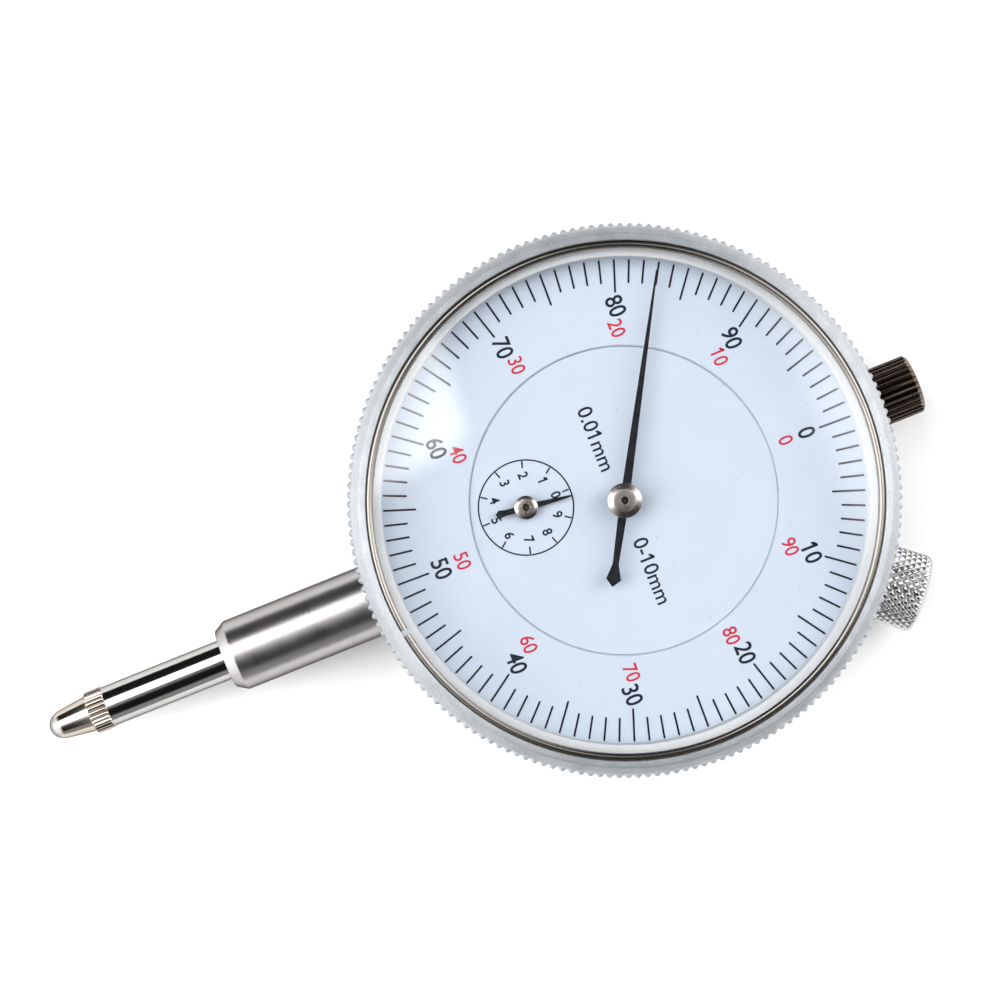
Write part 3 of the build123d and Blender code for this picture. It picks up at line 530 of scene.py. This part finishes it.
def build_bezel():
    """Bezel ring: skirt, knurled grip, sloping shoulder, flat rim and the crystal's ledge."""
    box = Span("bezel")
    ring_top = Span("outer_dial_ring").high.z
    grip_r, low, top = box.size.x / 2, box.low.z, box.high.z
    skirt_r = grip_r - 1.2
    grip_low, grip_high = low + 1.1, low + 5.9
    groove_z, groove_r = low + 1.6, 0.4

    def knurled(r, z, k):
        share = min(1.0, max(0.0, (r - grip_r + 0.75) / 0.6))
        inside = grip_low - 0.1 < z < grip_high + 0.25
        return r - KNURL_DEPTH * knurl_depth(k, KNURL_STEPS) * share if inside else r

    corners = [(SLIDE_R, low), (skirt_r - 0.3, low), (skirt_r, low + 0.3), (skirt_r, grip_low),
               (grip_r - 0.85, grip_low), (grip_r, grip_low + 0.7), (grip_r, grip_high - 0.7),
               (grip_r - 0.45, grip_high)]
    corners += [(RIM_R + out, top - down) for out, down in SHOULDER]
    corners += [(OPENING_R, top), (OPENING_R, SEAT_Z), (SIGHT_R, SEAT_Z), (SIGHT_R, ring_top),
                (SLIDE_R, ring_top), (SLIDE_R, groove_z + groove_r),
                (SLIDE_R + groove_r, groove_z), (SLIDE_R, groove_z - groove_r)]
    bm = bmesh.new()
    add_revolved(bm, fillet(corners, 0.12), KNURL_TEETH * KNURL_STEPS, shape=knurled)
    return piece("bezel_ring", bm, bezel_metal, "bezel", ["bezel"], sharp=24)


def build_crystal():
    """Slightly domed window with a flat rim and a chamfered edge."""
    box = Span("crystal")
    edge_r = box.size.x / 2 - CRYSTAL_GAP
    rise = 0.5
    low, top = box.low.z + CRYSTAL_GAP, box.high.z
    sphere_r = (edge_r ** 2 + rise ** 2) / (2 * rise)
    inner_top = low + 0.1 + rise
    rings, chamfer = 18, 0.1

    def dome(radius, crown):
        return crown - (sphere_r - sqrt(sphere_r ** 2 - radius ** 2))

    outer = [(edge_r * k / rings, dome(edge_r * k / rings, top)) for k in range(rings)]
    outer += [(edge_r - chamfer, dome(edge_r - chamfer, top)),
              (edge_r, dome(edge_r, top) - chamfer)]
    inner = [(SIGHT_R * k / rings, dome(SIGHT_R * k / rings, inner_top))
             for k in range(rings, -1, -1)]
    bm = bmesh.new()
    add_revolved(bm, outer + [(edge_r, low), (SIGHT_R, low)] + inner, 240, closed=False)
    return piece("crystal_window", bm, acrylic, "bezel", ["crystal"])


def build_snap_ring():
    """Split wire that holds the crystal, its gap near the stem."""
    box = Span("crystal_snap_ring")
    wire_r = box.size.z / 2
    ring_r = OPENING_R - wire_r - 0.03
    gap_middle, gap = radians(279.1), radians(1.3)
    steps, sides = 720, 20
    turn = 2 * pi - gap
    centres = [Vector((ring_r * cos(gap_middle + gap / 2 + turn * k / steps),
                       ring_r * sin(gap_middle + gap / 2 + turn * k / steps), box.middle.z))
               for k in range(steps + 1)]
    bm = bmesh.new()
    add_tube(bm, centres, wire_r, sides)
    return piece("snap_ring_wire", bm, ring_metal, "bezel", ["crystal_snap_ring"])


def build_dial_ring():
    """Outer dial ring that turns with the bezel, its inner edge a small painted slope."""
    box = Span("outer_dial_ring")
    low, high = box.low.z, box.high.z
    inner_r, outer_r = 16.50, box.size.x / 2
    slope, edge = 0.17, 0.08
    corners = [(inner_r, low), (outer_r, low), (outer_r, high), (inner_r + slope, high),
               (inner_r, low + edge)]
    bm = bmesh.new()
    add_revolved(bm, fillet(corners, 0.03, steps=2), 360)
    return piece("dial_ring", bm, dial_paint, "bezel", ["outer_dial_ring"])


# ------------------------------------------------------------------ hubs
CHAMFER_RISE = 0.45             # height of a hub's chamfer as a share of its width
HUB_BORE_R, HUB_SINK = 0.4, 0.03


def build_hub(name, node, material, body, flange_r, neck_r, chamfer, thickness):
    """Turned hub: neck, flange with a wide shallow chamfer, and a hole for the arbor."""
    box = Span(node)
    foot, top = box.low.z, box.high.z
    seat = top - thickness
    corners = [(HUB_BORE_R, foot), (neck_r, foot), (neck_r, seat), (flange_r, seat),
               (flange_r, top - CHAMFER_RISE * chamfer), (flange_r - chamfer, top),
               (HUB_BORE_R + HUB_SINK, top), (HUB_BORE_R, top - HUB_SINK)]
    bm = bmesh.new()
    add_revolved(bm, fillet(corners, 0.05, steps=2), 96)
    place = Matrix.Translation((box.middle.x, box.middle.y, 0))
    return piece(name, bm, material, body, [node], place, sharp=6)


# ------------------------------------------------------------------ hairspring
HAIR_THICKNESS = 0.06
HAIR_STEPS = 48                 # mesh steps in one turn


def add_strip(bm, centre, start, end, start_r, end_r, low, high):
    """Thin upright band along a spiral from one angle and radius to another, in degrees."""
    steps = round(HAIR_STEPS * abs(end - start) / 360)
    rings = []
    for k in range(steps + 1):
        a = radians(start + (end - start) * k / steps)
        r = start_r + (end_r - start_r) * k / steps
        rings.append([bm.verts.new((centre.x + radius * cos(a), centre.y + radius * sin(a), z))
                      for radius, z in ((r, low), (r + HAIR_THICKNESS, low),
                                        (r + HAIR_THICKNESS, high), (r, high))])
    for one, two in zip(rings, rings[1:]):
        for k in range(4):
            n = (k + 1) % 4
            bm.faces.new((one[k], two[k], two[n], one[n]))
    bm.faces.new(rings[0])
    bm.faces.new(list(reversed(rings[-1])))


def build_hairspring():
    """Hairspring: its coils turn with the arbor, and its outer end stays with the stud."""
    box, stud = Span("hairspring"), Span("hairspring_stud")
    inner_r = Span("hairspring_collet").size.x / 2
    turns, inner_angle = 5, 20
    gap, end_arc = 0.08, 50             # between the coils and the outer end, and that end's arc
    away = stud.middle - takeup
    stud_angle = degrees(atan2(away.y, away.x))
    end_r = hypot(away.x, away.y) - stud.size.x / 2
    coil_r = end_r - 2 * HAIR_THICKNESS - gap
    coils, end = bmesh.new(), bmesh.new()
    add_strip(coils, takeup, inner_angle, inner_angle + 360 * turns, inner_r, coil_r,
              box.low.z, box.high.z)
    add_strip(end, takeup, stud_angle - end_arc, stud_angle, end_r - HAIR_THICKNESS, end_r,
              box.low.z, box.high.z)
    piece("hairspring_coils", coils, spring_steel, "takeup", ["hairspring"])
    piece("hairspring_end", end, spring_steel, "case")


# ------------------------------------------------------------------ clamp screw
def build_clamp_screw():
    """Thumb screw with a crossed knurl, chamfers and a domed end."""
    knob = Span("clamp_screw")
    angle = atan2(knob.middle.y, knob.middle.x)
    knob_r = knob.size.z / 2
    inner, outer = 29.65, 35.0
    dome = 0.7
    starts, depth = 29, 0.22    # spiral grooves each way
    groove_slant = 0.8
    groove_sharpness = 1.4      # above 1 it leaves small flats between the grooves
    lead = 2 * pi * knob_r / starts
    rows, columns = 90, starts * 12

    def knurled(r, z, k):
        if r < knob_r - 0.15 or not inner + 0.2 < z < outer - dome - 0.05:
            return r
        along = (z - inner) / lead
        one = abs(sin(pi * (starts * k / columns + along * groove_slant)))
        two = abs(sin(pi * (starts * k / columns - along * groove_slant)))
        return r - depth * (1 - min(1.0, groove_sharpness * min(one, two)))

    side_low, side_high = inner + 0.35, outer - dome - 0.30
    side = [(knob_r, side_low + (side_high - side_low) * k / rows) for k in range(rows + 1)]
    dome_r = (knob_r ** 2 + dome ** 2) / (2 * dome)
    end = [(knob_r * s, outer - (dome_r - sqrt(dome_r ** 2 - (knob_r * s) ** 2)))
           for s in (0.93, 0.85, 0.7, 0.5, 0.3, 0.12, 0.0)]
    shank_r, shank_end, shank_chamfer = 2.0, 24.9, 0.4
    corners = [(0, shank_end), (shank_r - shank_chamfer, shank_end),
               (shank_r, shank_end + shank_chamfer), (shank_r, inner), (knob_r - 0.45, inner),
               (knob_r - 0.05, inner + 0.25)]
    bm = bmesh.new()
    add_revolved(bm, corners + side + end, columns, closed=False, shape=knurled)
    place = (Matrix.Rotation(angle, 4, "Z") @ Matrix.Translation((0, 0, knob.middle.z))
             @ Matrix.Rotation(pi / 2, 4, "Y"))
    return piece("clamp_screw_knurled", bm, knob_nickel, "clamp_screw", ["clamp_screw"],
                 place, sharp=60)


# ------------------------------------------------------------------ dial print
PRINT_T = 0.012                 # thickness of the ink
TICKS = 100
ZERO_ANGLE = 88.6               # where the ring's zero stands at rest, in degrees
TICK_OUTER_R, SHORT_INNER_R, LONG_INNER_R = 25.8, 23.2, 22.2
TICK_W, SUB_TICK_W = 0.22, 0.17
BLACK_R, RED_R = 20.8, 18.42    # middles of the black and red figures
BLACK_H, RED_H, SUB_H, LEGEND_H = 1.92, 1.60, 1.10, 1.64
SUB_R, SUB_FIGURE_R = 5.09, 3.46
SUB_ZERO_ANGLE = 91.5
SUB_LINE = 0.08                 # half the width of the small scale's circle
LEGENDS = (("0.01mm", (-7.25, -0.33)), ("0-10mm", (8.08, 0.0)))


def tick_outline(inner, outer, width, ends=4):
    """Bar along +X with rounded ends."""
    half = width / 2
    right = [(outer - half + half * cos(a), half * sin(a))
             for a in (pi * k / ends - pi / 2 for k in range(ends + 1))]
    left = [(inner + half - half * cos(a), -half * sin(a))
            for a in (pi * k / ends - pi / 2 for k in range(ends + 1))]
    return right + left


def add_tick(bm, centre, angle, inner, outer, width, z):
    """A printed bar from inner to outer radius at an angle round a centre."""
    a = radians(angle)
    turned = [(centre[0] + x * cos(a) - y * sin(a), centre[1] + x * sin(a) + y * cos(a))
              for x, y in tick_outline(inner, outer, width)]
    add_outline(bm, turned, z, z + PRINT_T)


def glyph_mesh(text, weight):
    """Mesh of a line of text in the built-in typeface, one unit thick about z = 0."""
    curve = bpy.data.curves.new("glyphs", "FONT")
    curve.body = text
    curve.resolution_u = 6
    curve.offset = weight
    curve.extrude = 0.5
    holder = bpy.data.objects.new("glyphs", curve)
    bpy.context.scene.collection.objects.link(holder)
    bpy.context.view_layer.update()
    depsgraph = bpy.context.evaluated_depsgraph_get()
    mesh = bpy.data.meshes.new_from_object(holder.evaluated_get(depsgraph))
    bpy.data.objects.remove(holder)
    bpy.data.curves.remove(curve)
    return mesh


def add_flag(mesh, text, place, weight):
    """Gives the figure 1 at a place in the text a slanted flag."""
    upto = glyph_mesh(text[:place + 1], weight)
    alone = glyph_mesh("1", weight)
    right = max(v.co.x for v in upto.vertices)
    top = max(v.co.y for v in alone.vertices)
    stroke = 0.098 + 2 * weight         # width of the typeface's plain bar
    bpy.data.meshes.remove(upto)
    bpy.data.meshes.remove(alone)
    reach, drop = 0.14, 0.13
    left = right - stroke - reach
    outline = [(right - 0.2 * stroke, top), (right - 0.9 * stroke, top), (left, top - drop),
               (left, top - drop - 1.1 * stroke), (right - 0.8 * stroke, top - 1.5 * stroke)]
    joined = bmesh.new()
    joined.from_mesh(mesh)
    add_outline(joined, outline, -0.5, 0.5)
    joined.to_mesh(mesh)
    joined.free()


def add_text(bm, text, centre, height, z, stretch=1.0, weight=0.0):
    """Upright printed characters in the built-in typeface, centred on a point."""
    mesh = glyph_mesh(text, weight)
    for place, letter in enumerate(text):
        if letter == "1":
            add_flag(mesh, text, place, weight)
    xs = [v.co.x for v in mesh.vertices]
    ys = [v.co.y for v in mesh.vertices]
    scale = height / (max(ys) - min(ys))
    middle = ((max(xs) + min(xs)) / 2, (max(ys) + min(ys)) / 2)
    mesh.transform(Matrix.Translation((centre[0], centre[1], z + PRINT_T / 2))
                   @ Matrix.Diagonal((scale * stretch, scale, PRINT_T, 1))
                   @ Matrix.Translation((-middle[0], -middle[1], 0)))
    bm.from_mesh(mesh)
    bpy.data.meshes.remove(mesh)


def spot(angle, radius, centre=(0, 0)):
    """Point at an angle and a radius round a centre."""
    return (centre[0] + radius * cos(radians(angle)), centre[1] + radius * sin(radians(angle)))


def build_outer_print():
    """Graduation and figures on the dial ring that turns with the bezel."""
    z = Span("outer_dial_ring").high.z
    black, red = bmesh.new(), bmesh.new()
    for k in range(TICKS):
        inner = SHORT_INNER_R if k % 5 else LONG_INNER_R
        add_tick(black, (0, 0), ZERO_ANGLE - 360 * k / TICKS, inner, TICK_OUTER_R, TICK_W, z)
    for k in range(10):
        angle = ZERO_ANGLE - 36 * k
        add_text(black, str(10 * k), spot(angle, BLACK_R), BLACK_H, z, 0.86, 0.014)
        add_text(red, str((100 - 10 * k) % 100), spot(angle, RED_R), RED_H, z, 0.86, 0.010)
    piece("outer_print_black", black, black_ink, "bezel", sharp=30)
    piece("outer_print_red", red, red_ink, "bezel", sharp=30)


def build_inner_print():
    """Revolution counter and the two legends on the fixed dial."""
    z = Span("inner_dial").high.z
    centre = (rack_arbor.x, rack_arbor.y)
    bm = bmesh.new()
    inside, outside, top = SUB_R - SUB_LINE, SUB_R + SUB_LINE, z + PRINT_T
    add_revolved(bm, [(inside, z), (outside, z), (outside, top), (inside, top)], 180)
    bmesh.ops.translate(bm, vec=(centre[0], centre[1], 0), verts=bm.verts)
    for k in range(10):
        angle = SUB_ZERO_ANGLE + 36 * k
        add_tick(bm, centre, angle, SUB_R - 0.9, SUB_R - 0.09, SUB_TICK_W, z)
        add_text(bm, str(k), spot(angle, SUB_FIGURE_R, centre), SUB_H, z, 0.92, 0.022)
    for legend, place in LEGENDS:
        add_text(bm, legend, place, LEGEND_H, z, 0.98, 0.008)
    piece("inner_print_black", bm, black_ink, "case", sharp=30)


# ------------------------------------------------------------------ build every piece
build_stem()
build_contact_point()
build_cap()
build_bezel()
build_crystal()
build_snap_ring()
build_dial_ring()
build_hub("main_hub", "main_pointer_hub", hub_metal, "centre_arbor", 1.87, 1.0, 0.64, 1.0)
build_hub("small_hub", "small_pointer_hub", small_hub_metal, "rack_arbor", 1.28, 0.75, 0.38, 0.43)
build_hairspring()
build_clamp_screw()
build_outer_print()
build_inner_print()


# ------------------------------------------------------------------ floor, light and camera
FLOOR_HALF = 3000
FLOOR_GAP = 0.02                # keeps the floor's face off the case's back


def build_floor():
    """Plain pale table top under the part."""
    bm = bmesh.new()
    height = cad_low.z - FLOOR_GAP * MM
    for x, y in ((-1, -1), (1, -1), (1, 1), (-1, 1)):
        bm.verts.new((x * FLOOR_HALF * MM, y * FLOOR_HALF * MM, height))
    bm.faces.new(bm.verts)
    mesh = bpy.data.meshes.new("floor")
    bm.to_mesh(mesh)
    bm.free()
    tree = Tree("floor_pale")
    paper = tree.noise(tree.place(), 0.05, detail=3.0)
    shade = tree.mix(paper, (0.95, 0.95, 0.95), (0.97, 0.97, 0.97))
    tree.principled(Base_Color=shade, Roughness=0.7, Specular_IOR_Level=0.1)
    mesh.materials.append(tree.material)
    floor = bpy.data.objects.new("floor", mesh)
    bpy.context.scene.collection.objects.link(floor)


HORIZON = 0.02                  # panels fade out this near the horizon


class Sky:
    """World light: a dim studio with soft white boxes, laid out by the slope of each direction."""

    def __init__(self):
        self.world = bpy.data.worlds.new("studio")
        bpy.context.scene.world = self.world
        self.world.use_nodes = True
        self.tree = self.world.node_tree
        self.tree.nodes.clear()
        ways = self.tree.nodes.new("ShaderNodeTexCoord").outputs["Generated"]
        parts = self.new("ShaderNodeSeparateXYZ", ways)
        self.x, self.y, self.z = parts.outputs
        height = self.maths("MAXIMUM", self.z, HORIZON)
        self.slope_x = self.maths("DIVIDE", self.x, height)
        self.slope_y = self.maths("DIVIDE", self.y, height)

    def new(self, kind, *values, **settings):
        made = self.tree.nodes.new(kind)
        for key, value in settings.items():
            setattr(made, key, value)
        for k, value in enumerate(values):
            if isinstance(value, bpy.types.NodeSocket):
                self.tree.links.new(value, made.inputs[k])
            else:
                made.inputs[k].default_value = value
        return made

    def maths(self, operation, *values):
        return self.new("ShaderNodeMath", *values, operation=operation).outputs[0]

    def smooth(self, value, low, high, out_low, out_high):
        made = self.new("ShaderNodeMapRange", value, low, high, out_low, out_high,
                        interpolation_type="SMOOTHSTEP")
        return made.outputs[0]

    def panel(self, corners, soft):
        """Mask of a flat light whose corners are given as slopes, anticlockwise."""
        mask = self.smooth(self.z, HORIZON, 3 * HORIZON, 0.0, 1.0)
        for (x0, y0), (x1, y1) in zip(corners, corners[1:] + corners[:1]):
            length = hypot(x1 - x0, y1 - y0)
            out_x, out_y = (y1 - y0) / length, (x0 - x1) / length
            beyond = self.maths("ADD", self.maths("MULTIPLY", self.slope_x, out_x),
                                self.maths("MULTIPLY", self.slope_y, out_y))
            edge = x0 * out_x + y0 * out_y
            mask = self.maths("MULTIPLY", mask,
                              self.smooth(beyond, edge - soft, edge + soft, 1.0, 0.0))
        return mask

    def steps(self, value, stops):
        """Brightness that runs through (value, level) stops."""
        first, last = stops[0][0], stops[-1][0]
        share = self.new("ShaderNodeMapRange", value, first, last, 0.0, 1.0).outputs[0]
        made = self.new("ShaderNodeValToRGB", share)
        marks = made.color_ramp.elements
        while len(marks) < len(stops):
            marks.new(0.5)
        for mark, (at, level) in zip(marks, stops):
            mark.position = (at - first) / (last - first)
            mark.color = (level, level, level, 1.0)
        return self.new("ShaderNodeSeparateColor", made.outputs[0]).outputs[0]


# Brightness of the room by the tilt of a direction from straight up toward +X, in degrees.
ROOM_BY_TILT = [(-180, 0.5), (-125, 0.35), (-106, 0.06), (-92, 0.015), (-44, 0.015), (-36, 0.07),
                (4, 0.08), (14, 0.04), (26, 0.012), (54, 0.015), (64, 0.42), (180, 0.5)]
ROOM_ENDS = 2.8                 # brightness toward the stem's and the cap's side
ENDS_FROM, ENDS_TO = 0.45, 0.95 # size of a direction's y where that brightness fades in
KEY_LIGHT = [(-0.054, -0.040), (-0.75, 0.071), (-0.95, -1.7), (0.20, -1.6)]
FILL_LIGHT = [(-0.30, 0.165), (0.30, 0.165), (0.42, 1.60), (-0.42, 1.60)]
KEY_LEVEL, FILL_LEVEL = 4.7, 3.8
SPILL_LIGHT = [(-0.06, -0.11), (-0.06, -1.0), (0.36, -1.0), (0.24, -0.11)]
SPILL_LEVEL = 0.45


def build_light():
    """Dim room, one big light over the stem's side and one over the cap's, dark sides between."""
    sky = Sky()
    tilt = sky.maths("MULTIPLY", sky.maths("ARCTAN2", sky.x, sky.z), 180 / pi)
    sides = sky.steps(tilt, ROOM_BY_TILT)
    ends = sky.smooth(sky.maths("ABSOLUTE", sky.y), ENDS_FROM, ENDS_TO, 0.0, 1.0)
    room = sky.maths("ADD", sky.maths("MULTIPLY", sides, sky.maths("SUBTRACT", 1.0, ends)),
                     sky.maths("MULTIPLY", ends, ROOM_ENDS))
    key = sky.maths("MULTIPLY", sky.panel(KEY_LIGHT, 0.010), KEY_LEVEL)
    fill = sky.maths("MULTIPLY", sky.panel(FILL_LIGHT, 0.022), FILL_LEVEL)
    spill = sky.maths("MULTIPLY", sky.panel(SPILL_LIGHT, 0.07), SPILL_LEVEL)
    total = sky.maths("ADD", sky.maths("ADD", room, spill), sky.maths("ADD", key, fill))
    emit = sky.new("ShaderNodeBackground", (1.0, 1.0, 1.0, 1.0), total)
    output = sky.tree.nodes.new("ShaderNodeOutputWorld")
    sky.tree.links.new(emit.outputs[0], output.inputs[0])


CAMERA_AT = (-4.92, -12.25, 366)
CAMERA_TURN = 68.13             # brings the stem to the picture's lower left
LENS, SENSOR = 117.8, 36


def build_camera():
    """Straight above, with the stem pointing down and to the left."""
    data = bpy.data.cameras.new("camera")
    data.sensor_width = SENSOR
    data.lens = LENS
    data.clip_start, data.clip_end = 0.01, 10
    camera = bpy.data.objects.new("camera", data)
    bpy.context.scene.collection.objects.link(camera)
    camera.location = Vector(CAMERA_AT) * MM
    camera.rotation_euler = (0, 0, radians(CAMERA_TURN))
    bpy.context.scene.camera = camera


build_floor()
build_light()
build_camera()
bpy.context.scene.view_settings.view_transform = "Standard"
